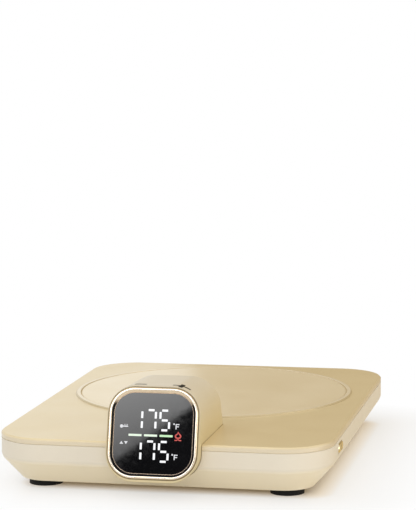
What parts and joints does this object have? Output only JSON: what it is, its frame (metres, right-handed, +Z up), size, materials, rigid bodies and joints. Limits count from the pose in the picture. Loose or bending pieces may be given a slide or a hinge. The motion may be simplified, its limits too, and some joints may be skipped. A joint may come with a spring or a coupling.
{
  "type": "electric mug warmer",
  "caption": "Flat electric mug warmer: rounded base with a round warming plate level with its cover, and a tilted square display pod standing through the front edge.",
  "frame": {"origin": "centre of the object's outline in plan, on the surface its feet stand on", "axes": "+Z up, -Y towards the side with the display, +X towards the side with the power key"},
  "size_m": [0.1204, 0.1673, 0.0387],
  "materials": {
    "bezel": "polished, warm tint",
    "bezel_inner": "black, polished",
    "black_part": "black",
    "board": "solder resist",
    "bush": "matt, warm grey cream",
    "can": "sleeved can",
    "case": "satin, warm cream",
    "connector": "white",
    "copper": "wound",
    "cover": "satin, champagne cream",
    "display": "black",
    "film": "amber film",
    "film_box": "ochre",
    "foot": "matt black",
    "fuse": "ceramic look",
    "key": "satin, warm cream",
    "pad": "fibre felt",
    "plate": "coated, satin champagne",
    "plunger": "dark red",
    "pod": "satin, warm cream",
    "relay": "dark blue",
    "sensor": "plain",
    "steel": "plated",
    "switch": "black",
    "terminal": "green",
    "window": "dark, polished"
  },
  "bodies": {
    "base": {"back_left_foot": "foot", "back_right_foot": "foot", "bezel_insert": "bezel_inner", "bezel_ring": "bezel", "can_capacitor": "can", "choke": "copper", "controller_chip": "black_part", "cord_bush": "bush", "display_board": "board", "display_connector": "connector", "display_module": "display", "display_window": "window", "film_capacitor": "film_box", "front_left_foot": "foot", "front_right_foot": "foot", "fuse_strap": "steel", "heater_clamp": "steel", "heater_connector": "connector", "heater_element": "film", "insulation_pad": "pad", "key_board": "board", "lower_case": "case", "main_board": "board", "minus_touch_spring": "steel", "plus_touch_spring": "steel", "pod_housing": "pod", "power_relay": "relay", "power_switch": "switch", "temperature_sensor": "sensor", "terminal_block": "terminal", "thermal_fuse": "fuse", "top_cover": "cover", "touch_board": "board", "warming_plate": "plate"},
    "power_key": {"power_key": "key", "switch_plunger": "plunger"}
  },
  "joints": [
    {"name": "power_key_press", "type": "slide", "parent": "base", "child": "power_key", "axis": [-1, 0, 0], "range_m": [0, 0.0008], "stiffness_N_per_m": 400, "springref_m": -0.001}
  ]
}
